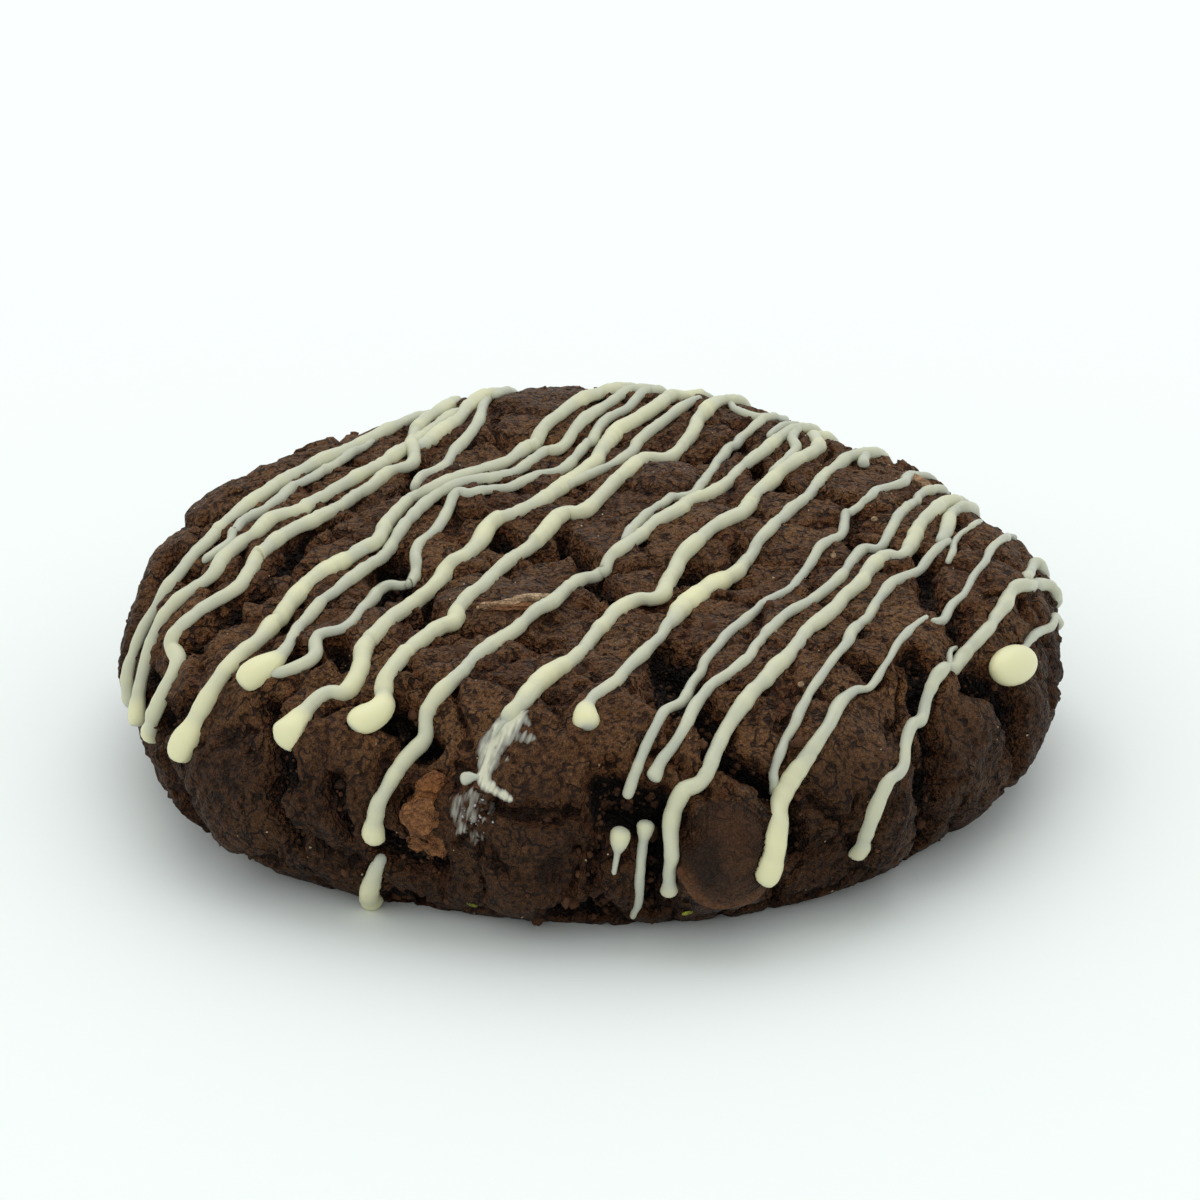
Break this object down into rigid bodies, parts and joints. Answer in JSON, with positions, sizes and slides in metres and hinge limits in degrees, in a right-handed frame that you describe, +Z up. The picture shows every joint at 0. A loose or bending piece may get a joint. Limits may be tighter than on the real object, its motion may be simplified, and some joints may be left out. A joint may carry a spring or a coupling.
{
  "type": "brownie cookie with drizzle",
  "caption": "Thick round of dark, cracked chocolate brownie dough with lines of pale icing drizzled across it.",
  "frame": {"origin": "centre of the cookie's bounding box, on the surface that it rests on", "axes": "+Z up, through the cookie's thickness; the drizzle runs from the back right (+X +Y) to the front left (-X -Y)"},
  "size_m": [0.0988, 0.1026, 0.0273],
  "materials": {
    "dark_dough": "Matt, very dark brown baked dough with fine crackle, and a redder crumb down in the cracks.",
    "pale_drizzle": "Satin cream-coloured icing, greyer where it is thin.",
    "loose_crumb": "Matt reddish-brown crumb.",
    "toasted_nut": "Orange-brown pieces baked into the dough, with a fibrous break.",
    "milk_chocolate": "Smooth baked lump of milk chocolate with a soft sheen."
  },
  "bodies": {
    "root": {"brownie_cookie": "dark_dough"}
  },
  "joints": []
}
